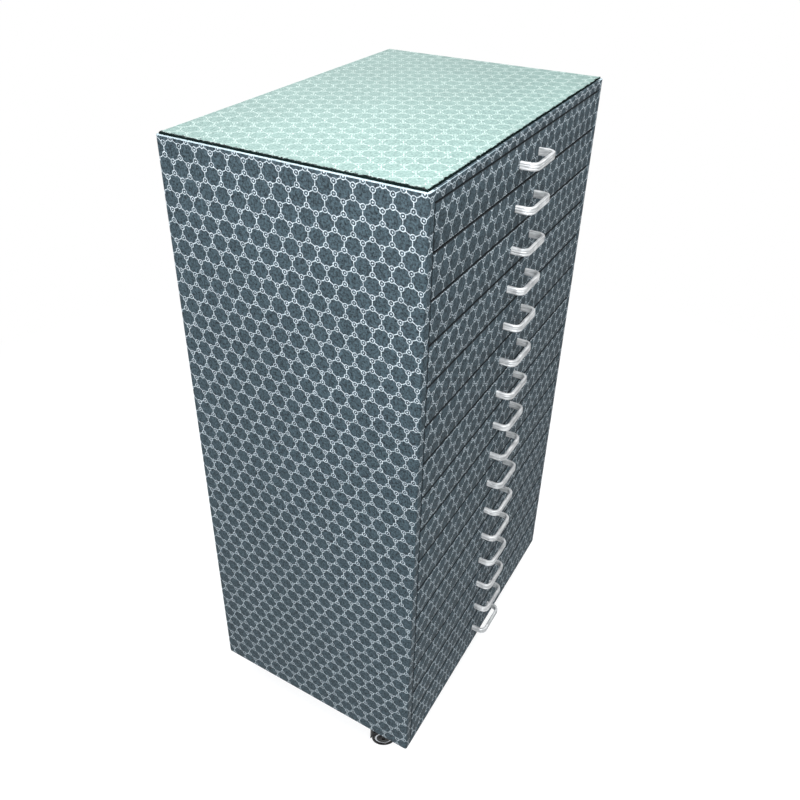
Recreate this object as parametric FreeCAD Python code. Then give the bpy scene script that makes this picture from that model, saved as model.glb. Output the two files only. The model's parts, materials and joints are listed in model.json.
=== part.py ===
import FreeCAD, Part
import os

# Scrapbook paper storage drawers: a covered cabinet of shallow drawers on four swivel casters.
# Sizes are in millimetres. The front faces -Y and +Z is up. The origin is on the floor, under
# the middle of the outline with the pulls.

V = FreeCAD.Vector
ALONG_X = V(1, 0, 0)
ALONG_Y = V(0, 1, 0)
ALONG_Z = V(0, 0, 1)

# Cabinet boards, covering included
cabinet_width = 565.0
cabinet_depth = 380.0
cabinet_height = 980.0          # from the base's underside to the top cover's face
side_thickness = 14.0
top_thickness = 13.5
base_thickness = 16.0
back_thickness = 5.0
cover_thickness = 2.5
cover_margin = 3.0              # the cover stops this far inside the cabinet's edges
edge_radius = 4.0               # outer upright edges of the sides
back_rebate = 7.0               # how far the back reaches behind each side's rear edge
back_play = 0.5                 # room round the back in its rebates

# Dowels between the sides and the top and base
dowel_radius = 4.0
dowel_length = 30.0
dowel_in_side = 9.0
dowel_inset = 45.0              # first and last dowel, from the cabinet's front and back
dowels_per_joint = 3
dowel_play = 0.05

# Drawers
drawer_count = 16
front_gap = 2.0                 # open line between two drawer fronts
front_side_gap = 1.5            # open line between a front and a side
front_thickness = 12.0
box_board = 9.0                 # drawer sides and back
box_foot = 4.0                  # box's underside above its front's lower edge
box_head = 6.0                  # box's top edge below its front's upper edge
box_rear_space = 18.0           # free depth behind a closed drawer
bottom_board = 3.0
bottom_lift = 5.0               # bottom's underside above the box's underside
groove_depth = 4.0
groove_play = 0.2

# Runners: a channel on the cabinet's side and a tongue on the drawer's side
rail_wall = 1.5
rail_reach = 10.0
rail_height = 20.0
rail_setback = 3.0              # channel's front end behind the drawer front
tongue_setback = 6.0
tongue_play = 0.3               # tongue to channel, all round
rail_to_box = 1.0               # channel's lips to the drawer's side
rail_screw_inset = 40.0         # screws from each end of a channel
tongue_screw_inset = 55.0       # screws from each end of a tongue
tongue_web_left = 4.0           # tongue left under each sunk screw head

# Pulls
pull_centres = 64.0             # between the two screws
pull_reach = 25.0
pull_bar = 4.5
pull_height = 11.0
pull_corner = 10.0              # outer radius
pull_thread_depth = 9.0

# Casters
caster_height = 50.0            # floor to the base's underside
caster_inset_x = 36.0           # swivel centre from the cabinet's side
caster_inset_y = 44.0           # swivel centre from the cabinet's front or back
caster_turns = {"front_left": 30.0, "front_right": 12.0, "rear_left": -38.0, "rear_right": 22.0}  # degrees at rest
plate_side = 38.0
plate_thickness = 2.0
plate_screw_spacing = 28.0
kingpin_radius = 4.0
kingpin_length = 11.0
kingpin_floor_gap = 0.5
swivel_gap = 0.4                # neck's top to the plate
neck_radius = 9.0
caster_trail = 18.0             # axle behind the swivel centre
wheel_radius = 20.0
wheel_width = 13.0
wheel_edge = 2.5
wheel_side_gap = 0.5            # wheel to the hood's web
wheel_tread_gap = 0.8           # wheel to the hood's roof
hub_groove_inner = 8.0
hub_groove_outer = 15.0
hub_groove_depth = 1.5
axle_radius = 3.0
axle_fit = 0.02                 # axle in the hood's web
pin_play = 0.05                 # kingpin in the neck and axle in the wheels
web_thickness = 6.0
web_boss_radius = 9.0
roof_thickness = 2.2
roof_skirt = 2.0                # the roof stops this far above the axle

# Screws: shank and head radii, head height, shank length from the head's face
rail_screw = {"shank": 1.4, "head": 2.8, "head_height": 1.4, "length": 12.0}
back_screw = {"shank": 1.5, "head": 3.0, "head_height": 1.6, "length": 18.0}
tongue_screw = {"shank": 1.5, "head": 3.0, "head_height": 2.0, "length": 11.0}
plate_screw = {"shank": 1.9, "head": 3.5, "head_height": 2.0, "length": 14.0}
pull_screw = {"shank": 1.5, "head": 2.8, "head_height": 2.0, "length": front_thickness + pull_thread_depth}
screw_play = 0.05               # shank in its thread hole, head in its countersink
passing_play = 0.2              # shank through a plain hole
head_play = 0.4                 # sunk head in its counterbore
back_screw_inset = 60.0         # first and last back screw from the back's corners
back_screws_across = 4
back_screws_up = 5

# Planes that several pieces share
front_y = -(cabinet_depth - pull_reach) / 2
back_y = front_y + cabinet_depth
back_seat_y = back_y - back_thickness
base_z = caster_height
carcass_top = base_z + cabinet_height - cover_thickness
half_width = cabinet_width / 2
inner_half = half_width - side_thickness
drawer_space = carcass_top - top_thickness - base_z - base_thickness
drawer_pitch = drawer_space / drawer_count
front_height = drawer_pitch - front_gap
front_half = inner_half - front_side_gap
front_back_y = front_y + front_thickness
box_half = inner_half - rail_reach - rail_to_box
box_end_y = back_seat_y - box_rear_space
box_height = front_height - box_foot - box_head
runner_lift = box_foot + box_height / 2
tongue_end_y = box_end_y
rail_start_y = front_back_y + rail_setback
rail_end_y = tongue_end_y + tongue_play + rail_wall
tongue_half_height = rail_height / 2 - rail_wall - tongue_play
tongue_reach = rail_to_box + rail_reach - rail_wall - tongue_play
axle_z = wheel_radius
plate_z = caster_height - plate_thickness


def block(x_span, y_span, z_span):
    """A board between two planes along each axis."""
    low = V(x_span[0], y_span[0], z_span[0])
    return Part.makeBox(x_span[1] - x_span[0], y_span[1] - y_span[0], z_span[1] - z_span[0], low)


def rod(radius, start, way, length):
    return Part.makeCylinder(radius, length, start, way)


def countersunk(size, face, way, play=0.0):
    """A screw with its flat head level with face; with play it is the hole for that screw."""
    head = Part.makeCone(size["head"] + play, size["shank"] + play, size["head_height"], face, way)
    return head.fuse(rod(size["shank"] + play, face, way, size["length"] + play)).removeSplitter()


def flat_head(size, seat, way):
    """A screw whose head stands on seat and whose shank runs along way."""
    head = rod(size["head"], seat - way * size["head_height"], way, size["head_height"])
    return head.fuse(rod(size["shank"], seat, way, size["length"])).removeSplitter()


def thread_hole(size, seat, way):
    return rod(size["shank"] + screw_play, seat, way, size["length"] + screw_play)


def mirrored(shape):
    """The same piece on the other side of the cabinet's middle."""
    return shape.mirror(V(0, 0, 0), ALONG_X)


def round_upright_edges(shape, radius, places):
    """Round the edges that run up and down at the given (x, y) places."""
    chosen = []
    for edge in shape.Edges:
        ends = [vertex.Point for vertex in edge.Vertexes]
        upright = len(ends) == 2 and abs(ends[0].x - ends[1].x) + abs(ends[0].y - ends[1].y) < 1e-6
        if upright and any(abs(ends[0].x - x) + abs(ends[0].y - y) < 1e-6 for x, y in places):
            chosen.append(edge)
    return shape.makeFillet(radius, chosen)


def evenly(first, last, count):
    return [first + (last - first) * step / (count - 1) for step in range(count)]


def save(name, solids):
    shape = solids[0] if len(solids) == 1 else Part.makeCompound(solids)
    shape.exportStep(f"parts/{name}.step")


# ---- Cabinet ----

dowel_rows = evenly(front_y + dowel_inset, back_y - dowel_inset, dowels_per_joint)
top_middle_z = carcass_top - top_thickness / 2
base_middle_z = base_z + base_thickness / 2
left_dowel_places = [V(-inner_half, y, z) for z in (top_middle_z, base_middle_z) for y in dowel_rows]


def left_dowel(place, play=0.0):
    start = place - ALONG_X * (dowel_in_side + play)
    return rod(dowel_radius + play, start, ALONG_X, dowel_length + 2 * play)


def runner_z(level):
    """Middle height of the runners of a drawer; level 0 is the lowest drawer."""
    return base_z + base_thickness + level * drawer_pitch + front_gap / 2 + runner_lift


def left_rail_screw_faces():
    x = -inner_half + rail_wall
    rows = (rail_start_y + rail_screw_inset, rail_end_y - rail_screw_inset)
    return [V(x, y, runner_z(level)) for level in range(drawer_count) for y in rows]


def left_rail(level):
    """A channel closed at its rear end, where the tongue stops."""
    z = runner_z(level)
    outer = block((-inner_half, -inner_half + rail_reach), (rail_start_y, rail_end_y),
                  (z - rail_height / 2, z + rail_height / 2))
    hollow = block((-inner_half + rail_wall, -inner_half + rail_reach), (rail_start_y, rail_end_y - rail_wall),
                   (z - rail_height / 2 + rail_wall, z + rail_height / 2 - rail_wall))
    rail = outer.cut(hollow)
    for y in (rail_start_y + rail_screw_inset, rail_end_y - rail_screw_inset):
        face = V(-inner_half + rail_wall, y, z)
        rail = rail.cut(countersunk(rail_screw, face, -ALONG_X, screw_play))
    return rail


def left_side():
    board = block((-half_width, -inner_half), (front_y, back_y), (base_z, carcass_top))
    board = round_upright_edges(board, edge_radius, [(-half_width, front_y), (-half_width, back_y)])
    rebate = block((-inner_half - back_rebate, -inner_half), (back_seat_y, back_y), (base_z, carcass_top))
    cuts = [rebate]
    cuts += [left_dowel(place, dowel_play) for place in left_dowel_places]
    cuts += [countersunk(rail_screw, face, -ALONG_X, screw_play) for face in left_rail_screw_faces()]
    return board.cut(Part.makeCompound(cuts))


def cross_board(z_span, holes):
    """A board from side to side, flush with the sides' front edges."""
    board = block((-inner_half, inner_half), (front_y, back_seat_y), z_span)
    return board.cut(Part.makeCompound(holes))


def both_sides(solids):
    return solids + [mirrored(solid) for solid in solids]


def back_screw_places():
    """Screws through the back into the top, the base and both sides."""
    reach_x = half_width - (side_thickness - back_rebate / 2)
    columns = evenly(-half_width + back_screw_inset, half_width - back_screw_inset, back_screws_across)
    rows = evenly(base_z + back_screw_inset, carcass_top - back_screw_inset, back_screws_up)
    places = [V(x, back_y, z) for z in (base_middle_z, top_middle_z) for x in columns]
    places += [V(x, back_y, z) for x in (-reach_x, reach_x) for z in rows]
    return places


back_holes = [countersunk(back_screw, place, -ALONG_Y, screw_play) for place in back_screw_places()]
dowels = both_sides([left_dowel(place) for place in left_dowel_places])
dowel_holes = both_sides([left_dowel(place, dowel_play) for place in left_dowel_places])


# ---- Casters ----

def caster_places():
    """Swivel centres, each with its name and +1 or -1 towards its own side of the cabinet."""
    x = half_width - caster_inset_x
    places = {}
    for row, y in (("front", front_y + caster_inset_y), ("rear", back_y - caster_inset_y)):
        for hand, side in (("left", -1), ("right", 1)):
            places[f"{row}_{hand}"] = (V(side * x, y, 0), side)
    return places


def plate_screw_seats(centre):
    half = plate_screw_spacing / 2
    return [centre + V(x, y, plate_z) for x in (-half, half) for y in (-half, half)]


def caster_plate(centre):
    half = plate_side / 2
    plate = block((-half, half), (-half, half), (plate_z, caster_height))
    plate.translate(centre)
    for seat in plate_screw_seats(centre):
        plate = plate.cut(rod(plate_screw["shank"] + passing_play, seat, ALONG_Z, plate_thickness))
    pin = rod(kingpin_radius, centre + V(0, 0, plate_z - kingpin_length), ALONG_Z, kingpin_length)
    return plate.fuse(pin).removeSplitter()


def turned_to_place(piece, centre, turn):
    """A piece built about the origin with its axle to the rear, swivelled and moved to its caster."""
    turned = piece.copy()
    turned.rotate(V(0, 0, 0), ALONG_Z, turn)
    return turned.translated(centre)


def across_axle(radius, inner, outer):
    """A round bar about the axle's line, between two distances to one side of the web's middle."""
    return rod(radius, V(inner, caster_trail, axle_z), ALONG_X, outer - inner)


def caster_hood(centre, turn):
    """A web between the wheels, a roof over their treads and a neck that holds the kingpin."""
    half_web = web_thickness / 2
    half_roof = half_web + wheel_side_gap + wheel_width
    roof_radius = wheel_radius + wheel_tread_gap + roof_thickness
    neck_top = plate_z - swivel_gap
    skirt_z = axle_z + roof_skirt
    hood = across_axle(roof_radius, -half_roof, half_roof)
    far = roof_radius + caster_trail
    hood = hood.common(block((-far, far), (-far, far + caster_trail), (skirt_z, neck_top)))
    hood = hood.fuse(rod(neck_radius, V(0, 0, skirt_z), ALONG_Z, neck_top - skirt_z))
    hood = hood.fuse(across_axle(web_boss_radius, -half_web, half_web))
    for side in (-1, 1):
        cavity = across_axle(wheel_radius + wheel_tread_gap, half_web, half_roof + neck_radius)
        hood = hood.cut(cavity if side > 0 else mirrored(cavity))
    pin_end = plate_z - kingpin_length - kingpin_floor_gap
    hood = hood.cut(rod(kingpin_radius + pin_play, V(0, 0, pin_end), ALONG_Z, neck_top - pin_end))
    hood = hood.cut(across_axle(axle_radius + axle_fit, -half_web, half_web))
    hood = hood.removeSplitter()
    axle_half = half_web + wheel_side_gap + wheel_width - hub_groove_depth
    axle = across_axle(axle_radius, -axle_half, axle_half)
    return [turned_to_place(piece, centre, turn) for piece in (hood, axle)]


def caster_wheel(centre, side, turn):
    """A wheel on one side of the web, with a ring groove round its hub."""
    inner = web_thickness / 2 + wheel_side_gap
    outer = inner + wheel_width
    wheel = across_axle(wheel_radius, inner, outer)
    wheel = wheel.makeFillet(wheel_edge, [edge for edge in wheel.Edges if isinstance(edge.Curve, Part.Circle)])
    groove = across_axle(hub_groove_outer, outer - hub_groove_depth, outer)
    groove = groove.cut(across_axle(hub_groove_inner, outer - hub_groove_depth, outer))
    wheel = wheel.cut(groove).cut(across_axle(axle_radius + pin_play, inner, outer))
    if side < 0:
        wheel = mirrored(wheel)
    return turned_to_place(wheel, centre, turn)


casters = caster_places()
plate_screws = [flat_head(plate_screw, seat, ALONG_Z)
                for centre, _ in casters.values() for seat in plate_screw_seats(centre)]
plate_screw_holes = [thread_hole(plate_screw, seat, ALONG_Z)
                     for centre, _ in casters.values() for seat in plate_screw_seats(centre)]


# ---- Drawers, built at the lowest level ----

front_low = base_z + base_thickness + front_gap / 2
box_low = front_low + box_foot
box_top = box_low + box_height
bottom_low = box_low + bottom_lift
bottom_top = bottom_low + bottom_board
pull_z = front_low + front_height / 2


def bottom_panel(play=0.0):
    """The drawer's bottom, and with play the groove that takes it."""
    half = box_half - box_board + groove_depth + play
    return block((-half, half), (front_back_y - groove_depth - play, box_end_y),
                 (bottom_low, bottom_top + play))


def pull_screw_seats():
    return [V(side * pull_centres / 2, front_back_y, pull_z) for side in (-1, 1)]


def drawer_front():
    front = block((-front_half, front_half), (front_y, front_back_y), (front_low, front_low + front_height))
    front = front.cut(bottom_panel(groove_play))
    for seat in pull_screw_seats():
        front = front.cut(rod(pull_screw["shank"] + passing_play, seat, -ALONG_Y, front_thickness))
    return front


def tongue_screw_seats():
    """Where the screw heads sit inside the left tongue."""
    x = -box_half - tongue_web_left
    rows = (front_back_y + tongue_screw_inset, tongue_end_y - tongue_screw_inset)
    return [V(x, y, runner_z(0)) for y in rows]


def left_box_side():
    side = block((-box_half, -box_half + box_board), (front_back_y, box_end_y), (box_low, box_top))
    side = side.cut(bottom_panel(groove_play))
    for seat in tongue_screw_seats():
        side = side.cut(thread_hole(tongue_screw, seat, ALONG_X))
    return side


def left_tongue():
    z = runner_z(0)
    tongue = block((-box_half - tongue_reach, -box_half), (front_back_y + tongue_setback, tongue_end_y),
                   (z - tongue_half_height, z + tongue_half_height))
    for seat in tongue_screw_seats():
        tongue = tongue.cut(rod(tongue_screw["shank"] + passing_play, seat, ALONG_X, tongue_web_left))
        tongue = tongue.cut(rod(tongue_screw["head"] + head_play, seat, -ALONG_X, tongue_reach))
    return tongue


def drawer_box():
    """Front, sides, back, bottom, runner tongues and their screws, each its own solid."""
    back_half = box_half - box_board
    back = block((-back_half, back_half), (box_end_y - box_board, box_end_y), (bottom_top, box_top))
    paired = [left_box_side(), left_tongue()]
    paired += [flat_head(tongue_screw, seat, ALONG_X) for seat in tongue_screw_seats()]
    return [drawer_front(), back, bottom_panel()] + both_sides(paired)


def drawer_pull():
    """A flat bar bent to a U that stands on the drawer front, with its two screws."""
    half = pull_centres / 2 + pull_bar / 2
    z_span = (pull_z - pull_height / 2, pull_z + pull_height / 2)
    outer_y = front_y - pull_reach
    outer = block((-half, half), (outer_y, front_y), z_span)
    outer = round_upright_edges(outer, pull_corner, [(-half, outer_y), (half, outer_y)])
    inner_half_width = half - pull_bar
    inner_y = outer_y + pull_bar
    inner = block((-inner_half_width, inner_half_width), (inner_y, front_y), z_span)
    inner_corners = [(-inner_half_width, inner_y), (inner_half_width, inner_y)]
    inner = round_upright_edges(inner, pull_corner - pull_bar, inner_corners)
    bar = outer.cut(inner)
    screws = []
    for seat in pull_screw_seats():
        bar = bar.cut(thread_hole(pull_screw, seat, -ALONG_Y))
        screws.append(flat_head(pull_screw, seat, -ALONG_Y))
    return [bar] + screws


# ---- Write every node ----

os.makedirs("parts", exist_ok=True)
side = left_side().cut(Part.makeCompound(back_holes))
save("side_panel_left", [side])
save("side_panel_right", [mirrored(side)])
save("top_panel", [cross_board((carcass_top - top_thickness, carcass_top), dowel_holes + back_holes)])
save("base_panel", [cross_board((base_z, base_z + base_thickness), dowel_holes + back_holes + plate_screw_holes)])
back_reach = inner_half + back_rebate - back_play
back_board = block((-back_reach, back_reach), (back_seat_y, back_y), (base_z, carcass_top))
save("back_panel", [back_board.cut(Part.makeCompound(back_holes))])
save("top_cover", [block((-half_width + cover_margin, half_width - cover_margin),
                         (front_y + cover_margin, back_y - cover_margin),
                         (carcass_top, carcass_top + cover_thickness))])
save("panel_dowels", dowels)
save("back_screws", [countersunk(back_screw, place, -ALONG_Y) for place in back_screw_places()])

left_rails = [left_rail(level) for level in range(drawer_count)]
save("runner_channels_left", left_rails)
save("runner_channels_right", [mirrored(rail) for rail in left_rails])
save("runner_screws", both_sides([countersunk(rail_screw, face, -ALONG_X) for face in left_rail_screw_faces()]))

for name, (centre, outward) in casters.items():
    save(f"caster_plate_{name}", [caster_plate(centre)])
    turn = caster_turns[name]
    save(f"caster_hood_{name}", caster_hood(centre, turn))
    save(f"caster_wheel_{name}_outer", [caster_wheel(centre, outward, turn)])
    save(f"caster_wheel_{name}_inner", [caster_wheel(centre, -outward, turn)])
save("caster_screws", plate_screws)

box_solids = drawer_box()
pull_solids = drawer_pull()
for number in range(1, drawer_count + 1):
    rise = V(0, 0, (drawer_count - number) * drawer_pitch)
    save(f"drawer_{number:02d}", [solid.translated(rise) for solid in box_solids])
    save(f"pull_{number:02d}", [solid.translated(rise) for solid in pull_solids])
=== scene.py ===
import bmesh
import bpy
import json
import math
from mathutils import Matrix, Vector, noise

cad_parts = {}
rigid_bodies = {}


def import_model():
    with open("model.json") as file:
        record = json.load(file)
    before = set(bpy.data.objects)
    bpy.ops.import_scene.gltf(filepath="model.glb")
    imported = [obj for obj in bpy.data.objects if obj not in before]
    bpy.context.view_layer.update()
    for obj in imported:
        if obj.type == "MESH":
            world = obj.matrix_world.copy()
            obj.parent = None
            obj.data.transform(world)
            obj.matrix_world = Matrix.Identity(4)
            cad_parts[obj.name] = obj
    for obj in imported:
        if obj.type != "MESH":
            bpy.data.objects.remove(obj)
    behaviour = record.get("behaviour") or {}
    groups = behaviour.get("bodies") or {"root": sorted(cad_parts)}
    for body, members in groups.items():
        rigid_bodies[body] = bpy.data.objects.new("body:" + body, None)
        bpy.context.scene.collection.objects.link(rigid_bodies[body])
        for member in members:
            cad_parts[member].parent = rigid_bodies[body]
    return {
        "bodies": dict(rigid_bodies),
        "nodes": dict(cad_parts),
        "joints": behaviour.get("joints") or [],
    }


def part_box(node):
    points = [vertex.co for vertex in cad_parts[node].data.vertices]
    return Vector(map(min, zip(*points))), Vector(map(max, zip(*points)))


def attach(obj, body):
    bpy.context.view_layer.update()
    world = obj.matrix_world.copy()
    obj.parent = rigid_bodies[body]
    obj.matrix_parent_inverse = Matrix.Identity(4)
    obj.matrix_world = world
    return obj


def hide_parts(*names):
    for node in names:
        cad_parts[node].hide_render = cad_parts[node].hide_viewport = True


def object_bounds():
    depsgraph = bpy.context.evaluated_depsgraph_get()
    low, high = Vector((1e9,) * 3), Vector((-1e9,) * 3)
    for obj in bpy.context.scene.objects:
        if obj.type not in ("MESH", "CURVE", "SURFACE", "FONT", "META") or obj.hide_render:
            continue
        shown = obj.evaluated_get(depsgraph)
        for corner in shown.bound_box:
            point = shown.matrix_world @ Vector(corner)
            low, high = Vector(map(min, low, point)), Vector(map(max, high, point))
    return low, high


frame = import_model()
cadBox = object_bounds()

mm = 0.001
tiny = 1e-6                   # metres; places closer than this are the same
cornerTurn = 1.0              # radians; an edge that turns more than this is a board's corner
alongX = Vector((1, 0, 0))
alongY = Vector((0, 1, 0))
alongZ = Vector((0, 0, 1))
drawerNames = sorted(name for name in frame["bodies"] if name.startswith("drawer_"))
joints = {joint["name"]: joint for joint in frame["joints"]}
casterNames = sorted(name for name in frame["bodies"] if name.startswith("caster_"))

sideLow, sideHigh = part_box("side_panel_left")
frontY = sideLow.y
rearY = sideHigh.y
halfWidth = -sideLow.x


def paint(code):
    # a colour as it looks on screen, made linear for the shaders
    parts = [int(code[i:i + 2], 16) / 255 for i in (0, 2, 4)]
    return tuple(p / 12.92 if p <= 0.04045 else ((p + 0.055) / 1.055) ** 2.4 for p in parts) + (1.0,)


def newMaterial(name, **settings):
    material = bpy.data.materials.new(name)
    material.use_nodes = True
    tree = material.node_tree
    tree.nodes.clear()
    output = tree.nodes.new("ShaderNodeOutputMaterial")
    shader = tree.nodes.new("ShaderNodeBsdfPrincipled")
    tree.links.new(shader.outputs["BSDF"], output.inputs["Surface"])
    for socket, value in settings.items():
        shader.inputs[socket.replace("_", " ")].default_value = value
    return material, tree, shader


def feed(tree, socket, value):
    if isinstance(value, bpy.types.NodeSocket):
        tree.links.new(value, socket)
    else:
        socket.default_value = value


def maths(tree, operation, *values):
    node = tree.nodes.new("ShaderNodeMath")
    node.operation = operation
    for socket, value in zip(node.inputs, values):
        feed(tree, socket, value)
    return node.outputs["Value"]


def vectors(tree, operation, *values):
    node = tree.nodes.new("ShaderNodeVectorMath")
    node.operation = operation
    for socket, value in zip(node.inputs, values):
        feed(tree, socket, value)
    return node.outputs["Value" if operation in ("LENGTH", "DOT_PRODUCT") else "Vector"]


def join(tree, x, y, z=0.0):
    node = tree.nodes.new("ShaderNodeCombineXYZ")
    for socket, value in zip(node.inputs, (x, y, z)):
        feed(tree, socket, value)
    return node.outputs["Vector"]


def split(tree, vector):
    node = tree.nodes.new("ShaderNodeSeparateXYZ")
    tree.links.new(vector, node.inputs["Vector"])
    return node.outputs["X"], node.outputs["Y"], node.outputs["Z"]


def choose(tree, factor, a, b):
    # a where factor is 0, b where it is 1
    node = tree.nodes.new("ShaderNodeMix")
    node.data_type = "FLOAT"
    feed(tree, node.inputs["Factor"], factor)
    feed(tree, node.inputs["A"], a)
    feed(tree, node.inputs["B"], b)
    return node.outputs["Result"]


def blendColour(tree, factor, a, b, mode="MIX"):
    node = tree.nodes.new("ShaderNodeMix")
    node.data_type = "RGBA"
    node.blend_type = mode
    feed(tree, node.inputs["Factor"], factor)
    feed(tree, node.inputs[6], a)   # the colour sockets; "A" alone would be the number's
    feed(tree, node.inputs[7], b)
    return node.outputs[2]


def shade(tree, colour, factor):
    # the colour made lighter or darker by a number that varies from place to place
    return blendColour(tree, 1.0, colour, join(tree, factor, factor, factor), "MULTIPLY")


def speckle(tree, vector, scale, detail=2.0, roughness=0.5):
    node = tree.nodes.new("ShaderNodeTexNoise")
    node.inputs["Scale"].default_value = scale
    node.inputs["Detail"].default_value = detail
    node.inputs["Roughness"].default_value = roughness
    tree.links.new(vector, node.inputs["Vector"])
    return node.outputs["Fac"]


def spread(tree, value, low, high, newLow=0.0, newHigh=1.0, smooth=False):
    node = tree.nodes.new("ShaderNodeMapRange")
    node.interpolation_type = "SMOOTHSTEP" if smooth else "LINEAR"
    for name, number in (("From Min", low), ("From Max", high), ("To Min", newLow), ("To Max", newHigh)):
        node.inputs[name].default_value = number
    tree.links.new(value, node.inputs["Value"])
    return node.outputs["Result"]


def addBump(tree, shader, height, depth, strength=1.0):
    node = tree.nodes.new("ShaderNodeBump")
    node.inputs["Distance"].default_value = depth
    node.inputs["Strength"].default_value = strength
    tree.links.new(height, node.inputs["Height"])
    tree.links.new(node.outputs["Normal"], shader.inputs["Normal"])


def objectPoint(tree):
    coordinates = tree.nodes.new("ShaderNodeTexCoord")
    return coordinates.outputs["Object"], coordinates.outputs["Normal"]


# The covering is coated cloth with a woven honeycomb and a small ring at each joint.
honeycomb = {
    "acrossFlats": 25.0 * mm,
    "lineWidth": 1.05 * mm,
    "ringRadius": 3.4 * mm,
    "ringWidth": 1.05 * mm,
    "dotRadius": 1.0 * mm,
    "lineBlur": 0.22 * mm,
    "lift": 6.0 * mm,         # sets where the rows fall under the top
}

# The cloth's threads, flecks and wear. Scales are in features per metre.
clothGrain = {
    "wander": 0.3 * mm,       # how far a line strays
    "wanderScale": 300.0,
    "threadAlong": 140.0,
    "threadAcross": 900.0,
    "threadRough": 0.6,
    "fleckScale": 330.0,
    "fleckRough": 0.75,
    "threadShare": 0.4,       # of the grain; flecks make up the rest
    "fleckShare": 0.6,
    "toneRange": (0.4, 0.6),  # grain at which the colour is darkest and lightest
    "cloudScale": 7.0,
    "cloudRange": (0.3, 0.7, 0.96, 1.05),
    "wornScale": 560.0,
    "wornRange": (0.37, 0.6, 0.5, 1.0),  # a worn line fades to half
    "lineLift": 0.5,          # how much a line stands up beside the threads
    "bumpDepth": 0.2 * mm,
    "bumpStrength": 0.8,
}
facing = 0.7                  # a normal's share past which a face counts as turned that way


def wrappedPlace(tree):
    # The cloth runs round the cabinet without a break: across the front, then back along each side.
    # The rear has a width of its own, and flat faces are laid out from above.
    point, normal = objectPoint(tree)
    x, y, z = split(tree, point)
    nx, ny, nz = split(tree, normal)
    side = maths(tree, "SIGN", x)
    back = maths(tree, "SUBTRACT", y, frontY)
    around = maths(tree, "MULTIPLY_ADD", side, back, x)
    onRear = maths(tree, "GREATER_THAN", ny, facing)
    across = choose(tree, onRear, around, maths(tree, "MULTIPLY", x, -1.0))
    flat = maths(tree, "GREATER_THAN", maths(tree, "ABSOLUTE", nz), facing)
    u = choose(tree, flat, across, x)
    v = choose(tree, flat, maths(tree, "ADD", z, honeycomb["lift"]), y)
    return join(tree, u, v), point


def honeycombLine(tree, place, form):
    # 1 on a line, a ring or its dot, 0 inside a cell; lengths are in cell widths from here on
    pitch = form["acrossFlats"]
    halfTall = math.sqrt(3) / 2
    halfCell = (0.5, halfTall, 0.5)
    lowCell = (-0.5, -halfTall, -0.5)
    scaled = vectors(tree, "DIVIDE", place, (pitch, pitch, pitch))
    first = vectors(tree, "WRAP", scaled, halfCell, lowCell)
    second = vectors(tree, "WRAP", vectors(tree, "ADD", scaled, (0.5, halfTall, 0.0)), halfCell, lowCell)
    firstNear = maths(tree, "LESS_THAN", vectors(tree, "LENGTH", first), vectors(tree, "LENGTH", second))
    firstX, firstY, _ = split(tree, vectors(tree, "ABSOLUTE", first))
    secondX, secondY, _ = split(tree, vectors(tree, "ABSOLUTE", second))
    x = choose(tree, firstNear, secondX, firstX)
    y = choose(tree, firstNear, secondY, firstY)
    slant = maths(tree, "ADD", maths(tree, "MULTIPLY", x, 0.5), maths(tree, "MULTIPLY", y, halfTall))
    edge = maths(tree, "SUBTRACT", 0.5, maths(tree, "MAXIMUM", x, slant))
    blur = form["lineBlur"] / pitch
    halfLine = form["lineWidth"] / 2 / pitch
    line = spread(tree, edge, halfLine - blur, halfLine + blur, 1.0, 0.0, smooth=True)
    here = join(tree, x, y)
    toTop = vectors(tree, "SUBTRACT", here, (0.0, 1 / math.sqrt(3), 0.0))
    toSide = vectors(tree, "SUBTRACT", here, (0.5, 0.5 / math.sqrt(3), 0.0))
    topJoint = vectors(tree, "LENGTH", toTop)
    sideJoint = vectors(tree, "LENGTH", toSide)
    joint = maths(tree, "MINIMUM", topJoint, sideJoint)
    radius = form["ringRadius"] / pitch
    halfRing = form["ringWidth"] / 2 / pitch
    offRing = maths(tree, "ABSOLUTE", maths(tree, "SUBTRACT", joint, radius))
    ring = spread(tree, offRing, halfRing - blur, halfRing + blur, 1.0, 0.0, smooth=True)
    dotRadius = form["dotRadius"] / pitch
    dot = spread(tree, joint, dotRadius - blur, dotRadius + blur, 1.0, 0.0, smooth=True)
    outside = spread(tree, joint, radius - blur, radius + blur, 0.0, 1.0)
    joined = maths(tree, "MAXIMUM", ring, dot)
    return maths(tree, "MAXIMUM", joined, maths(tree, "MULTIPLY", line, outside))


topSheet = {
    "cell": 4.0 * mm,         # mesh size
    "ragged": 0.7 * mm,       # how unevenly its edge was cut
    "slope": 1.0 * mm,        # the cut edge leans out this far
    "swell": 0.15 * mm,
    "fray": 1.5 * mm,         # loose threads stand up this high along the front and left edges
    # painted shade: a dark ragged strip along the sheet's front and left edges
    "borderColour": "060d12",
    "borderLeast": 1.4 * mm,  # from its left outline to where the pale print starts
    "borderMost": 8.0 * mm,
    "borderBlur": 0.2 * mm,
    "frontShare": 2.3,        # the painted shade is this many times narrower at the front
    "jagScale": 230.0,
    "jagRange": (0.36, 0.66),
    "jagPower": 1.5,          # leaves most of the painted shade narrow, with a few deep nicks
    "swellScale": 14.0,
    "coarseCut": 170.0,       # noise scales of the cut's unevenness
    "fineCut": 420.0,
    "fineShare": 0.6,
    "frayScale": 330.0,
    "frayFrom": 0.98,         # the share of the half width past which an edge is frayed
    "footBand": 3.0 * mm,     # a vertex this near the outline belongs to that side's edge
    "footShy": 0.1 * mm,
}


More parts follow.
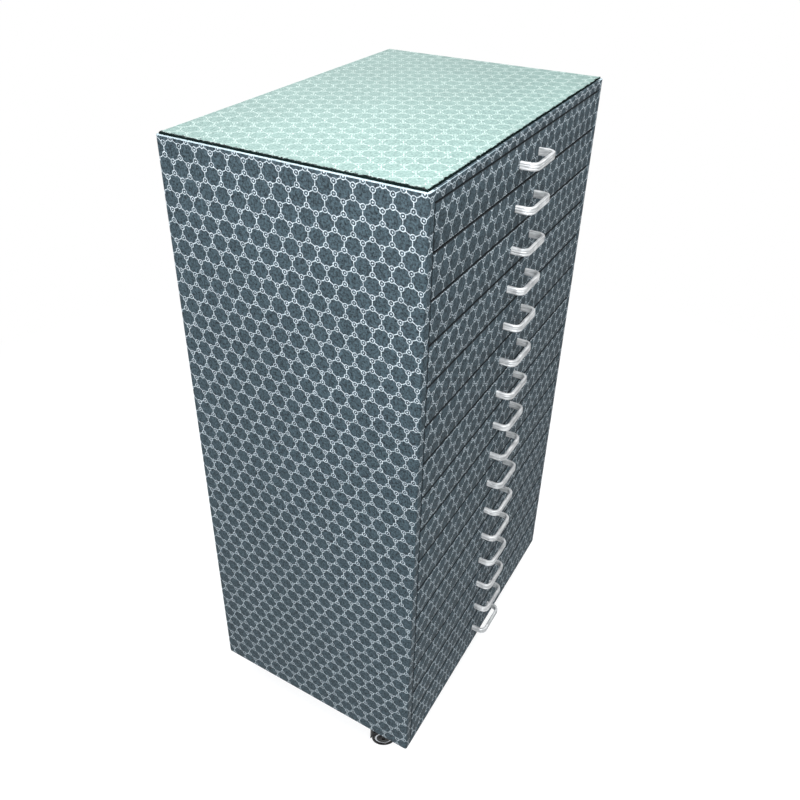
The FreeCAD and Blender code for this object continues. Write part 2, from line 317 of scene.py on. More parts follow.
def raggedEdgeShade(tree, point, box, form):
    # 1 on the uneven strip of painted shade along a cut sheet's front and left edges, where its cut edge
    # falls into shade
    x, y, _ = split(tree, vectors(tree, "SUBTRACT", point, tuple(box[0])))
    inside = maths(tree, "MINIMUM", x, maths(tree, "MULTIPLY", y, form["frontShare"]))
    jag = spread(tree, speckle(tree, point, form["jagScale"], detail=3.0, roughness=0.75), *form["jagRange"])
    nick = maths(tree, "POWER", jag, form["jagPower"])
    width = spread(tree, nick, 0.0, 1.0, form["borderLeast"], form["borderMost"])
    past = maths(tree, "SUBTRACT", inside, width)
    return spread(tree, past, -form["borderBlur"], form["borderBlur"], 1.0, 0.0)


def strayed(tree, place, point):
    # Noise colours lie about a quarter either side of their middle, so four times the wander reaches it.
    wander = tree.nodes.new("ShaderNodeTexNoise")
    wander.inputs["Scale"].default_value = clothGrain["wanderScale"]
    tree.links.new(point, wander.inputs["Vector"])
    stray = vectors(tree, "SUBTRACT", wander.outputs["Color"], (0.5, 0.5, 0.5))
    step = vectors(tree, "MULTIPLY", stray, (clothGrain["wander"] * 4,) * 3)
    return vectors(tree, "ADD", place, step)


def makeCovering(name, cellColour, darkCell, lineColour, darkLine, roughness, specular, sheet=None):
    material, tree, shader = newMaterial(name, Roughness=roughness, Specular_IOR_Level=specular)
    form = clothGrain
    place, point = wrappedPlace(tree)
    line = honeycombLine(tree, strayed(tree, place, point), honeycomb)
    along, across = form["threadAlong"], form["threadAcross"]
    upright = vectors(tree, "MULTIPLY", place, (across, along, 1.0))
    level = vectors(tree, "MULTIPLY", place, (along, across, 1.0))
    warp = speckle(tree, upright, 1.0, roughness=form["threadRough"])
    weft = speckle(tree, level, 1.0, roughness=form["threadRough"])
    woven = maths(tree, "ADD", warp, weft)
    threads = maths(tree, "MULTIPLY", maths(tree, "MULTIPLY", woven, 0.5), form["threadShare"])
    fleck = speckle(tree, point, form["fleckScale"], detail=3.0, roughness=form["fleckRough"])
    grain = maths(tree, "ADD", threads, maths(tree, "MULTIPLY", fleck, form["fleckShare"]))
    tone = spread(tree, grain, *form["toneRange"])
    cloud = spread(tree, speckle(tree, point, form["cloudScale"], detail=1.0), *form["cloudRange"])
    cell = blendColour(tree, tone, paint(darkCell), paint(cellColour))
    thread = blendColour(tree, tone, paint(darkLine), paint(lineColour))
    worn = spread(tree, speckle(tree, point, form["wornScale"], detail=1.0), *form["wornRange"])
    colour = blendColour(tree, maths(tree, "MULTIPLY", line, worn), cell, thread)
    colour = shade(tree, colour, cloud)
    if sheet:
        # painted shade along the sheet's front and left edges
        edgeShade = raggedEdgeShade(tree, point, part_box(sheet), topSheet)
        colour = blendColour(tree, edgeShade, colour, paint(topSheet["borderColour"]))
        tree.links.new(choose(tree, edgeShade, roughness, 1.0), shader.inputs["Roughness"])
    tree.links.new(colour, shader.inputs["Base Color"])
    height = maths(tree, "MULTIPLY_ADD", line, form["lineLift"], woven)
    addBump(tree, shader, height, form["bumpDepth"], form["bumpStrength"])
    return material


plainCloth = {
    "grainRange": (0.35, 0.65),
    "cloudScale": 16.0,
    "cloudRange": (0.3, 0.7, 0.86, 1.1),
    "bumpStrength": 0.8,
}


def makePlainCloth(name, light, dark, roughness, scale=500.0, depth=0.2, specular=0.3):
    form = plainCloth
    material, tree, shader = newMaterial(name, Roughness=roughness, Specular_IOR_Level=specular)
    point, _ = objectPoint(tree)
    grain = speckle(tree, point, scale, detail=4.0, roughness=0.7)
    cloud = spread(tree, speckle(tree, point, form["cloudScale"], detail=3.0), *form["cloudRange"])
    colour = blendColour(tree, spread(tree, grain, *form["grainRange"]), paint(dark), paint(light))
    tree.links.new(shade(tree, colour, cloud), shader.inputs["Base Color"])
    addBump(tree, shader, grain, depth * mm, form["bumpStrength"])
    return material


satinMetal = {
    "lineScale": 900.0,
    "cloudScale": 60.0,
    "lineShare": 0.6,
    "cloudShare": 0.4,
    "toneRange": (0.3, 0.7),
    "bumpDepth": 0.02 * mm,
    "bumpStrength": 0.6,
}


def makeSatinMetal(name, light, dark, roughness, stretch, metallic=1.0, spreadRough=0.1):
    # The fine lines run along the axis that has the smallest stretch.
    form = satinMetal
    material, tree, shader = newMaterial(name, Metallic=metallic)
    point, _ = objectPoint(tree)
    drawn = vectors(tree, "MULTIPLY", point, stretch)
    lines = speckle(tree, drawn, form["lineScale"], detail=4.0, roughness=0.6)
    cloud = maths(tree, "MULTIPLY", speckle(tree, point, form["cloudScale"]), form["cloudShare"])
    tone = spread(tree, maths(tree, "MULTIPLY_ADD", lines, form["lineShare"], cloud), *form["toneRange"])
    tree.links.new(blendColour(tree, tone, paint(dark), paint(light)), shader.inputs["Base Color"])
    rough = maths(tree, "MULTIPLY_ADD", lines, spreadRough, roughness)
    tree.links.new(rough, shader.inputs["Roughness"])
    addBump(tree, shader, lines, form["bumpDepth"], form["bumpStrength"])
    return material


moulded = {
    "specular": 0.3,
    "coatRoughness": 0.08,
    "grainScale": 1500.0,
    "cloudScale": 45.0,
    "cloudRange": (0.3, 0.7),
    "smoother": 0.05,         # how far the roughness falls and rises from place to place
    "rougher": 0.08,
    "bumpDepth": 0.02 * mm,
    "bumpStrength": 0.4,
}


def makeMoulded(name, light, dark, roughness, coat=0.0):
    form = moulded
    material, tree, shader = newMaterial(name, Coat_Weight=coat, Coat_Roughness=form["coatRoughness"],
                                         Specular_IOR_Level=form["specular"])
    point, _ = objectPoint(tree)
    grain = speckle(tree, point, form["grainScale"], detail=3.0, roughness=0.6)
    cloud = speckle(tree, point, form["cloudScale"])
    tree.links.new(blendColour(tree, cloud, paint(dark), paint(light)), shader.inputs["Base Color"])
    rough = spread(tree, cloud, *form["cloudRange"],
                   roughness - form["smoother"], roughness + form["rougher"])
    tree.links.new(rough, shader.inputs["Roughness"])
    addBump(tree, shader, grain, form["bumpDepth"], form["bumpStrength"])
    return material


covering = makeCovering("slateCovering", cellColour="485a63", darkCell="0e171d", lineColour="d9e4eb",
                        darkLine="a5b3bc", roughness=0.65, specular=0.25)
# the top sheet's pale mint is partly its own colour and partly painted sheen from light on the top
coverSheet = makeCovering("paleCovering", cellColour="8eaaa5", darkCell="607b77", lineColour="d0dfda",
                          darkLine="b0c6c2", roughness=0.4, specular=0.5, sheet="top_cover")
# painted highlight: this pale cloth on the rims stands for light caught along the top edges
coveringFold = makePlainCloth("coveringFold", "bccbd1", "8b9ea8", 0.6)
# the sheet's cut edge: partly its own dark fibres, partly painted shade, near-black like the shadow along it
cutEdge = makePlainCloth("cutEdge", "10201f", "040a0a", 0.9, scale=900.0, depth=0.5, specular=0.05)
# painted shade for the drawer fronts' faces in the gaps and their backs
darkEdge = makePlainCloth("darkEdge", "20272c", "12171a", 0.9, scale=600.0)
lining = makePlainCloth("slateLining", "565f66", "434b52", 0.8, scale=700.0)
pullMetal = makeSatinMetal("satinPull", "eef0f1", "787c7f", 0.42, (0.05, 0.05, 0.5), metallic=0.5)
zinc = makeSatinMetal("zincSteel", "c3c6c9", "9fa4a8", 0.34, (1.0, 1.0, 1.0), spreadRough=0.2)
capTrim = makeSatinMetal("capTrim", "f8fafb", "d3d8dc", 0.12, (1.0, 1.0, 1.0), spreadRough=0.05)
nylon = makeMoulded("runnerNylon", "b4b2aa", "a3a199", 0.45)
hoodBlack = makeMoulded("casterHood", "080a0b", "030405", 0.2, coat=0.15)
wheelBlack = makeMoulded("casterTread", "101214", "08090a", 0.45)
beech = makePlainCloth("dowelBeech", "c9a678", "a98355", 0.6, scale=120.0)
print("materials made")


def finishPiece(name, bm, body, materials, nodes=(), sharp=40.0):
    for face in bm.faces:
        face.smooth = True
    mesh = bpy.data.meshes.new(name)
    bm.to_mesh(mesh)
    bm.free()
    mesh.set_sharp_from_angle(angle=math.radians(sharp))
    for material in materials:
        mesh.materials.append(material)
    piece = bpy.data.objects.new(name, mesh)
    bpy.context.scene.collection.objects.link(piece)
    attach(piece, body)
    if nodes:
        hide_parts(*nodes)
    return piece


def softenEdges(bm, edges, radius, segments):
    return bmesh.ops.bevel(bm, geom=list(edges), offset=radius, offset_type="OFFSET", segments=segments,
                           profile=0.5, affect="EDGES", material=-1, clamp_overlap=True)["faces"]


def addBoard(bm, low, high, softEdge, segments=2):
    low, high = Vector(low), Vector(high)
    verts = bmesh.ops.create_cube(bm, size=1.0)["verts"]
    bmesh.ops.scale(bm, vec=high - low, verts=verts)
    bmesh.ops.translate(bm, vec=(low + high) / 2, verts=verts)
    edges = {edge for vert in verts for edge in vert.link_edges}
    softenEdges(bm, edges, softEdge, segments)


def turnedTo(place, way):
    return Matrix.Translation(place) @ way.to_track_quat("Z", "Y").to_matrix().to_4x4()


screwHead = {
    "sides": 24,
    "crossArm": 0.6,          # shares of the head's radius
    "crossHalf": 0.15,
    "topRadius": 0.82,
    "brimHeight": 0.4,        # share of the head's height
    "sunk": 0.2 * mm,
    "recess": 0.1 * mm,       # the cross ends this far below the seat
}


def addScrewHead(bm, place, way, radius, proud):
    # A low round head with a cross recess, standing proud of place along way.
    form = screwHead
    turn = turnedTo(place, way)
    arm, half = radius * form["crossArm"], radius * form["crossHalf"]
    turns = [math.tau * step / form["sides"] for step in range(form["sides"])]
    circle = [(math.cos(angle), math.sin(angle)) for angle in turns]
    cross = [(half, half), (half, arm), (-half, arm)]
    for _ in range(3):
        cross += [(-y, x) for x, y in cross[-3:]]
    rings = ((circle, radius, -form["sunk"]), (circle, radius, proud * form["brimHeight"]),
             (circle, radius * form["topRadius"], proud), (cross, 1.0, proud), (cross, 1.0, -form["recess"]))
    previous = []
    for outline, size, height in rings:
        verts = [bm.verts.new(turn @ Vector((x * size, y * size, height))) for x, y in outline]
        edges = closedLoop(bm, verts)
        if previous:
            bmesh.ops.bridge_loops(bm, edges=previous + edges)
        previous = edges
    bm.faces.new(verts)


def newVerts(made):
    return [item for item in made if isinstance(item, bmesh.types.BMVert)]


def newEdges(made):
    return [item for item in made if isinstance(item, bmesh.types.BMEdge)]


def openEdges(bm):
    return [edge for edge in bm.edges if edge.is_boundary]


def closedLoop(bm, verts):
    return [bm.edges.new((verts[i - 1], verts[i])) for i in range(len(verts))]


def loosePartCentres(node):
    # the middle of each separate part of a CAD node, in a fixed order
    bm = bmesh.new()
    bm.from_mesh(frame["nodes"][node].data)
    bmesh.ops.remove_doubles(bm, verts=bm.verts, dist=tiny)
    left = set(bm.verts)
    centres = []
    while left:
        part = [left.pop()]
        for vert in part:
            for edge in vert.link_edges:
                other = edge.other_vert(vert)
                if other in left:
                    left.remove(other)
                    part.append(other)
        lows = [min(vert.co[axis] for vert in part) for axis in range(3)]
        highs = [max(vert.co[axis] for vert in part) for axis in range(3)]
        centres.append((Vector(lows) + Vector(highs)) / 2)
    bm.free()
    return sorted(centres, key=lambda centre: tuple(round(value, 6) for value in centre))


def runsAlong(edge, axis):
    way = (edge.verts[1].co - edge.verts[0].co).normalized()
    return abs(way.dot(axis)) > 0.999


cabinetBoards = {
    "wrapRadius": 4.0 * mm,   # where the cloth turns round a side's upright edge
    "innerEdge": 0.4 * mm,    # a side's other upright corners
    "footEdge": 0.9 * mm,
    "rimEdge": 0.9 * mm,      # rounded edge round the top, where the painted highlight sits
    "rimShare": 0.8,          # the painted highlight reaches this far down the rim
    "rebateGap": 0.4 * mm,    # room round the back board
    "crossEdge": 0.4 * mm,
    "paleFold": 150.0 * mm,   # how far from the left the painted highlight runs along the front upper edge
    "foldCuts": 60,
    "foldReach": 0.5 * mm,
    "foldScale": 60.0,        # noise scale and strength of the painted highlight's broken end
    "foldBreak": 0.5,
    "screwRadius": 3.2 * mm,
    "screwProud": 0.7 * mm,
}


def buildSide(hand):
    form = cabinetBoards
    sign = -1 if hand == "left" else 1
    low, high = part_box(f"side_panel_{hand}")
    backLow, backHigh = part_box("back_panel")
    outer, inner = halfWidth, halfWidth - (high.x - low.x)
    rebate = backHigh.x + form["rebateGap"]
    bm = bmesh.new()
    plan = [(outer, frontY), (inner, frontY), (inner, backLow.y),
            (rebate, backLow.y), (rebate, rearY), (outer, rearY)]
    face = bm.faces.new([bm.verts.new((sign * x, y, low.z)) for x, y in plan])
    raised = bmesh.ops.extrude_face_region(bm, geom=[face])["geom"]
    bmesh.ops.translate(bm, vec=(0, 0, high.z - low.z), verts=newVerts(raised))
    bmesh.ops.recalc_face_normals(bm, faces=bm.faces)
    upright = [e for e in bm.edges if runsAlong(e, alongZ) and abs(abs(e.verts[0].co.x) - outer) < tiny]
    softenEdges(bm, upright, form["wrapRadius"], 6)
    square = [e for e in bm.edges if runsAlong(e, alongZ) and e.calc_face_angle(0.0) > cornerTurn]
    softenEdges(bm, square, form["innerEdge"], 1)
    rim = [e for e in bm.edges if all(v.co.z > high.z - tiny for v in e.verts)]
    softenEdges(bm, rim, form["rimEdge"], 3)
    foot = [e for e in bm.edges if all(v.co.z < low.z + tiny for v in e.verts)]
    softenEdges(bm, foot, form["footEdge"], 2)
    # painted highlight: the pale cloth along the top of the rim stands for light caught on the edge
    for face in bm.faces:
        if face.calc_center_median().z > high.z - form["rimEdge"] * form["rimShare"]:
            face.material_index = 1
    finishPiece(f"coveredSide_{hand}", bm, "root", [covering, coveringFold],
                [f"side_panel_{hand}"])


def markPaintedHighlight(bm, low, high):
    # painted highlight: a pale band along the front upper edge that fades out from the left corner
    form = cabinetBoards
    long = [e for e in bm.edges if runsAlong(e, alongX)]
    bmesh.ops.subdivide_edges(bm, edges=long, cuts=form["foldCuts"], use_grid_fill=True)
    for face in bm.faces:
        place = face.calc_center_median()
        onHighlight = place.z > high.z - form["foldReach"] and place.y < low.y + form["foldReach"]
        strayed = noise.noise(place * form["foldScale"]) * form["foldBreak"]
        fading = (place.x - low.x) / form["paleFold"] + strayed
        face.material_index = 1 if onHighlight and fading < 1 else 0


def buildCrossBoard(node, name, hasPaintedHighlight=False):
    low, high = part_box(node)
    bm = bmesh.new()
    addBoard(bm, low, high, cabinetBoards["crossEdge"])
    if hasPaintedHighlight:
        markPaintedHighlight(bm, low, high)
    finishPiece(name, bm, "root", [covering, coveringFold], [node])


def buildBackScrews():
    bm = bmesh.new()
    for centre in loosePartCentres("back_screws"):
        place = Vector((centre.x, rearY, centre.z))
        addScrewHead(bm, place, alongY, cabinetBoards["screwRadius"], cabinetBoards["screwProud"])
    bmesh.ops.recalc_face_normals(bm, faces=bm.faces)
    finishPiece("backScrews", bm, "root", [zinc], ["back_screws"])


for hand in ("left", "right"):
    buildSide(hand)
buildCrossBoard("top_panel", "topBoard", hasPaintedHighlight=True)
buildCrossBoard("base_panel", "baseBoard")
buildCrossBoard("back_panel", "backBoard")
buildBackScrews()
print("cabinet boards made")


def raggedEdge(vert, middle, size):
    # Moves a vertex of the sheet's outline in or out, and returns how high its threads stand.
    form = topSheet
    coarse = noise.noise(vert.co * form["coarseCut"])
    fine = noise.noise(vert.co * form["fineCut"] + alongZ)
    push = (coarse + form["fineShare"] * fine) * form["ragged"]
    outward = Vector((vert.co.x - middle.x, vert.co.y - middle.y, 0))
    if abs(outward.x) / size.x > abs(outward.y) / size.y:
        vert.co += alongX * math.copysign(push, outward.x)
    else:
        vert.co += alongY * math.copysign(push, outward.y)
    if min(outward.x / size.x, outward.y / size.y) * 2 < -form["frayFrom"]:
        return abs(noise.noise(vert.co * form["frayScale"] + alongX)) * 2 * form["fray"]
    return 0.0


def buildTopSheet():
    form = topSheet
    low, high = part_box("top_cover")
    size = high - low
    reach = size / 2
    middle = (low + high) / 2
    bm = bmesh.new()
    across = round(size.x / form["cell"])
    deep = round(size.y / form["cell"])
    bmesh.ops.create_grid(bm, x_segments=across, y_segments=deep, size=0.5)
    inset = form["slope"] * 2
    bmesh.ops.scale(bm, vec=(size.x - inset, size.y - inset, 1), verts=bm.verts)
    bmesh.ops.translate(bm, vec=(middle.x, middle.y, high.z), verts=bm.verts)
    rim = openEdges(bm)
    rimVerts = {vert for edge in rim for vert in edge.verts}
    for vert in bm.verts:
        ripple = noise.noise(vert.co * form["swellScale"]) * form["swell"]
        if vert in rimVerts:
            ripple += raggedEdge(vert, middle, size)
        vert.co.z += ripple - form["swell"]
    foot = newVerts(bmesh.ops.extrude_edge_only(bm, edges=rim)["geom"])
    for vert in foot:
        offset = vert.co - middle
        vert.co.z = low.z
        if abs(offset.x) > reach.x - form["footBand"]:
            vert.co.x = middle.x + math.copysign(reach.x - form["footShy"], offset.x)
        if abs(offset.y) > reach.y - form["footBand"]:
            vert.co.y = middle.y + math.copysign(reach.y - form["footShy"], offset.y)
    # the cut edge round the foot takes the dark colour, partly painted shade
    for face in bm.faces:
        face.material_index = 1 if any(v in foot for v in face.verts) else 0
    bmesh.ops.holes_fill(bm, edges=openEdges(bm), sides=0)
    bmesh.ops.recalc_face_normals(bm, faces=bm.faces)
    finishPiece("topSheet", bm, "root", [coverSheet, cutEdge], ["top_cover"], 60.0)


buildTopSheet()
print("top sheet made")


drawerForm = {
    "frontThick": 12.0 * mm,
    "frontEdge": 1.4 * mm,
    "frontShy": 0.3 * mm,     # the cloth front stays this far inside its outline, above and below
    "frontWave": 0.9 * mm,    # unevenness of the cloth turned over the front's long edges
    "firstShy": 0.9 * mm,     # the top front sits this much lower, for as wide a line as the rest
    "frontCuts": 130,
    "waveFrom": 0.88,         # the share of the half height past which the front is uneven
    "waveAlong": 95.0,        # noise scales of the unevenness
    "waveUp": 30.0,
    "darkFrom": 0.6,          # how far a face turns up, down or aside before it takes the painted gap shade
    "board": 9.0 * mm,
    "boardEdge": 0.5 * mm,
    "bottomEdge": 0.1 * mm,
    "boxFoot": 4.0 * mm,
    "boxHead": 6.0 * mm,
    "bottomLift": 5.0 * mm,
    "bottomThick": 3.0 * mm,
    "tongueSetback": 6.0 * mm,
    "tongueHeight": 16.4 * mm,
    "tongueReach": 9.2 * mm,
    "tongueEdge": 0.8 * mm,
    "tongueScrewInset": 55.0 * mm,
    "headRadius": 3.0 * mm,
    "headTaper": 0.8,
    "headDeep": 0.4 * mm,
    "boreRadius": 3.4 * mm,
    "boreTaper": 0.94,
    "boreDeep": 0.3 * mm,
    "roundSides": 20,
    "runnerGap": 1.0 * mm,    # between a drawer's side and the channel
}
channelLow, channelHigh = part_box("runner_channels_left")
boxHalf = -channelLow.x - (channelHigh.x - channelLow.x) - drawerForm["runnerGap"]


def buildDrawerFront(name, low, high):
    form = drawerForm
    bm = bmesh.new()
    shy = form["frontShy"]
    topShy = shy + (form["firstShy"] if name == "01" else 0.0)
    addBoard(bm, (low.x, low.y, low.z + shy), (high.x, low.y + form["frontThick"], high.z - topShy),
             form["frontEdge"], 3)
    long = [edge for edge in bm.edges if runsAlong(edge, alongX)]
    bmesh.ops.subdivide_edges(bm, edges=long, cuts=form["frontCuts"], use_grid_fill=True)
    middle = (low.z + high.z) / 2
    for vert in bm.verts:
        closeness = abs(vert.co.z - middle) / (high.z - low.z) * 2
        if closeness > form["waveFrom"] and vert.co.y < low.y + form["frontThick"] / 2:
            sample = Vector((vert.co.x * form["waveAlong"], vert.co.z * form["waveUp"], 0))
            shift = noise.noise(sample) * form["frontWave"]
            vert.co.z -= math.copysign(abs(shift), vert.co.z - middle)
    # painted shade: the faces turned into the gaps and the back face take a dark colour as shade
    for face in bm.faces:
        turnedAside = max(abs(face.normal.x), abs(face.normal.z)) > form["darkFrom"]
        face.material_index = 1 if turnedAside or face.normal.y > 0.5 else 0
    finishPiece(f"drawerFront_{name}", bm, f"drawer_{name}", [covering, darkEdge],
                [f"drawer_{name}"])


def buildDrawerBox(name, low, high):
    form = drawerForm
    backOfFront = low.y + form["frontThick"]
    foot = low.z + form["boxFoot"]
    head = high.z - form["boxHead"]
    bottomLow = foot + form["bottomLift"]
    bottomHigh = bottomLow + form["bottomThick"]
    inner = boxHalf - form["board"]
    soft = form["boardEdge"]
    bm = bmesh.new()
    addBoard(bm, (-boxHalf, backOfFront, foot), (-inner, high.y, head), soft)
    addBoard(bm, (inner, backOfFront, foot), (boxHalf, high.y, head), soft)
    addBoard(bm, (-inner, high.y - form["board"], bottomHigh), (inner, high.y, head), soft)
    addBoard(bm, (-inner, backOfFront, bottomLow), (inner, high.y, bottomHigh), form["bottomEdge"], 1)
    finishPiece(f"drawerBox_{name}", bm, f"drawer_{name}", [lining], [f"drawer_{name}"])


def addDisc(bm, radius, taper, depth, matrix):
    bmesh.ops.create_cone(bm, cap_ends=True, segments=drawerForm["roundSides"], radius1=radius,
                          radius2=radius * taper, depth=depth, matrix=matrix)


def buildTongues(name, low, high):
    form = drawerForm
    middle = low.z + form["boxFoot"] + (high.z - low.z - form["boxFoot"] - form["boxHead"]) / 2
    backOfFront = low.y + form["frontThick"]
    start = backOfFront + form["tongueSetback"]
    rows = (backOfFront + form["tongueScrewInset"], high.y - form["tongueScrewInset"])
    half = form["tongueHeight"] / 2
    bm = bmesh.new()
    heads = bmesh.new()
    for sign in (-1, 1):
        reach = sign * (boxHalf + form["tongueReach"])
        xs = sorted((sign * boxHalf, reach))
        addBoard(bm, (xs[0], start, middle - half), (xs[1], high.y, middle + half), form["tongueEdge"])
        for y in rows:
            turn = turnedTo(Vector((reach, y, middle)), alongX * sign)
            addDisc(bm, form["boreRadius"], form["boreTaper"], form["boreDeep"], turn)
            addDisc(heads, form["headRadius"], form["headTaper"], form["headDeep"], turn)
    finishPiece(f"runnerTongues_{name}", bm, f"drawer_{name}", [nylon], [f"drawer_{name}"])
    finishPiece(f"tongueScrews_{name}", heads, f"drawer_{name}", [zinc], [f"drawer_{name}"])


pullForm = {
    "thick": 4.5 * mm,
    "corner": 12.0 * mm,
    "cornerSteps": 12,
    "outerRound": 2.0 * mm,
    "innerRound": 1.0 * mm,
    "roundSteps": 3,
    "screwRadius": 2.8 * mm,
    "screwProud": 2.0 * mm,
    "grooveAt": 1.9 * mm,     # a fine line this far above and below the middle
    "grooveHalf": 0.8 * mm,
    "grooveDepth": 0.8 * mm,
}


def pullSection(height):
    # The bar's outline as pairs of (across, up): across is 0 on its outer face, up is 0 at mid height.
    form = pullForm
    steps = form["roundSteps"]
    half = height / 2
    thick = form["thick"]
    upper = []
    for radius, across, turn in ((form["innerRound"], thick - form["innerRound"], 0),
                                 (form["outerRound"], form["outerRound"], math.pi / 2)):
        for step in range(steps + 1):
            angle = turn + math.pi / 2 * step / steps
            upper.append((across + radius * math.cos(angle), half - radius + radius * math.sin(angle)))
    groove, wide = form["grooveAt"], form["grooveHalf"]
    upper += [(0.0, groove + wide), (form["grooveDepth"], groove), (0.0, groove - wide)]
    return upper + [(across, -up) for across, up in reversed(upper)]


def straightBar(bm, edges, move):
    made = bmesh.ops.extrude_edge_only(bm, edges=edges)["geom"]
    bmesh.ops.translate(bm, vec=move, verts=newVerts(made))
    return newEdges(made)


def bentBar(bm, edges, centre):
    verts = list({vert for edge in edges for vert in edge.verts})
    made = bmesh.ops.spin(bm, geom=verts + edges, cent=centre, axis=alongZ, dvec=(0, 0, 0),
                          angle=math.pi / 2, steps=pullForm["cornerSteps"], use_merge=False,
                          use_normal_flip=False, use_duplicate=False)["geom_last"]
    return newEdges(made)


def buildPull(name):
    form = pullForm
    low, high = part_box(f"pull_{name}")
    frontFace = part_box(f"drawer_{name}")[0].y
    middle = (low.z + high.z) / 2
    corner = form["corner"]
    bendY = low.y + corner
    bm = bmesh.new()
    ring = [bm.verts.new((low.x + across, frontFace, middle + up))
            for across, up in pullSection(high.z - low.z)]
    edges = closedLoop(bm, ring)
    edges = straightBar(bm, edges, (0, bendY - frontFace, 0))
    edges = bentBar(bm, edges, (low.x + corner, bendY, middle))
    edges = straightBar(bm, edges, (high.x - low.x - 2 * corner, 0, 0))
    edges = bentBar(bm, edges, (high.x - corner, bendY, middle))
    straightBar(bm, edges, (0, frontFace - low.y - corner, 0))
    bmesh.ops.holes_fill(bm, edges=openEdges(bm), sides=0)
    bmesh.ops.recalc_face_normals(bm, faces=bm.faces)
    finishPiece(f"pull_bar_{name}", bm, f"drawer_{name}", [pullMetal], [f"pull_{name}"], 28.0)
    screws = bmesh.new()
    for x in (low.x + form["thick"] / 2, high.x - form["thick"] / 2):
        seat = Vector((x, frontFace + drawerForm["frontThick"], middle))
        addScrewHead(screws, seat, alongY, form["screwRadius"], form["screwProud"])
    bmesh.ops.recalc_face_normals(screws, faces=screws.faces)
    finishPiece(f"pullScrews_{name}", screws, f"drawer_{name}", [zinc], [f"pull_{name}"])


for body in drawerNames:
    number = body.split("_")[1]
    low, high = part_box(body)
    buildDrawerFront(number, low, high)
    buildDrawerBox(number, low, high)
    buildTongues(number, low, high)
    buildPull(number)
print("drawers made:", len(drawerNames))


wheelForm = {
    "steps": 56,
    "width": 13.0 * mm,
    "webHalf": 3.5 * mm,      # from the hood's middle to the wheel's inner face
    "treadRound": 3.0 * mm,
    "capRadius": 7.8 * mm,
    "capRound": 1.0 * mm,
    "capProud": 0.4 * mm,     # from the dished web to the middle of the cap's rounding
    "capShy": 0.1 * mm,       # the cap ends this far inside the wheel's outer face
    "dish": 1.6 * mm,
    "dishStart": 1.4 * mm,    # the web's slope starts and ends this far in from the tread's rounding
    "dishEnd": 2.4 * mm,
    "trimWide": 2.6 * mm,     # bright ring round the dished web
    "axleRadius": 3.05 * mm,
}
hoodForm = {
    "merge": 0.01 * mm,
    "flatTurn": math.radians(0.5),   # edges that turn less than this are dissolved
    "sharpTurn": math.radians(35),   # and those that turn more are softened
    "softEdge": 0.35 * mm,
}


def rounding(centre, radius, start, end, steps):
    angles = [start + (end - start) * step / steps for step in range(steps + 1)]
    return [(centre[0] + radius * math.cos(a), centre[1] + radius * math.sin(a)) for a in angles]


def casterPlace(corner):
    # The matrix from a caster built about the origin, its axle along X, to where it stands.
    swivel = joints[f"caster_{corner}_swivel"]["pos_m"]
    axis = joints[f"wheel_{corner}_outer_spin"]["axis"]
    turn = Matrix.Rotation(math.atan2(axis[1], axis[0]), 4, "Z")
    return Matrix.Translation((swivel[0], swivel[1], 0)) @ turn


def buildWheel(corner, place):
    form = wheelForm
    back = casterPlace(corner)
    axle = back.inverted() @ Vector(joints[f"wheel_{corner}_{place}_spin"]["pos_m"])
    # the wheel's half section, as pairs of distance from the hood's middle and radius
    inner = form["webHalf"]
    outer = inner + form["width"]
    dished = outer - form["dish"]
    tread = form["treadRound"]
    shoulder = axle.z - tread
    trimRadius = shoulder - form["dishEnd"]
    section = [(inner, form["axleRadius"]), (inner, shoulder)]
    section += rounding((inner + tread, shoulder), tread, math.pi, math.pi / 2, 6)[1:]
    section += rounding((outer - tread, shoulder), tread, math.pi / 2, 0, 6)
    section += [(outer, shoulder - form["dishStart"]), (dished, trimRadius),
                (dished, trimRadius - form["trimWide"]), (dished, form["capRadius"] + form["capRound"])]
    capCentre = (dished + form["capProud"], form["capRadius"] - form["capRound"])
    section += rounding(capCentre, form["capRound"], math.pi / 2, 0.2, 4)
    section += [(outer - form["capShy"], form["axleRadius"])]
    sign = 1 if (corner.endswith("right")) == (place == "outer") else -1
    bm = bmesh.new()
    ring = [bm.verts.new((sign * x, axle.y, axle.z + r)) for x, r in section]
    edges = closedLoop(bm, ring)
    bmesh.ops.spin(bm, geom=ring + edges, cent=axle, axis=alongX, dvec=(0, 0, 0), angle=2 * math.pi,
                   steps=form["steps"], use_merge=True, use_normal_flip=False, use_duplicate=False)
    bmesh.ops.remove_doubles(bm, verts=bm.verts, dist=tiny)
    bmesh.ops.recalc_face_normals(bm, faces=bm.faces)
    for face in bm.faces:
        offset = face.calc_center_median() - axle
        away = math.hypot(offset.y, offset.z)
        onOuterHalf = sign * offset.x > inner + form["width"] / 2
        onTrim = onOuterHalf and trimRadius - form["trimWide"] < away < trimRadius
        face.material_index = 2 if onTrim else 1 if away > shoulder else 0
    bmesh.ops.transform(bm, matrix=back, verts=bm.verts)
    name = f"wheel_{corner}_{place}"
    finishPiece(name, bm, name, [hoodBlack, wheelBlack, capTrim], [f"caster_{name}"], 30.0)


def buildHood(corner):
    form = hoodForm
    node = f"caster_hood_{corner}"
    bm = bmesh.new()
    bm.from_mesh(frame["nodes"][node].data)
    bmesh.ops.remove_doubles(bm, verts=bm.verts, dist=form["merge"])
    bmesh.ops.dissolve_limit(bm, angle_limit=form["flatTurn"], verts=bm.verts, edges=bm.edges)
    sharp = [e for e in bm.edges if e.calc_face_angle(0.0) > form["sharpTurn"]]
    softenEdges(bm, sharp, form["softEdge"], 2)
    finishPiece(f"hood_{corner}", bm, f"caster_{corner}", [hoodBlack], [node], 25.0)


for body in casterNames:
    corner = body.replace("caster_", "")
    buildHood(corner)
    buildWheel(corner, "outer")
    buildWheel(corner, "inner")
print("casters made:", len(casterNames))


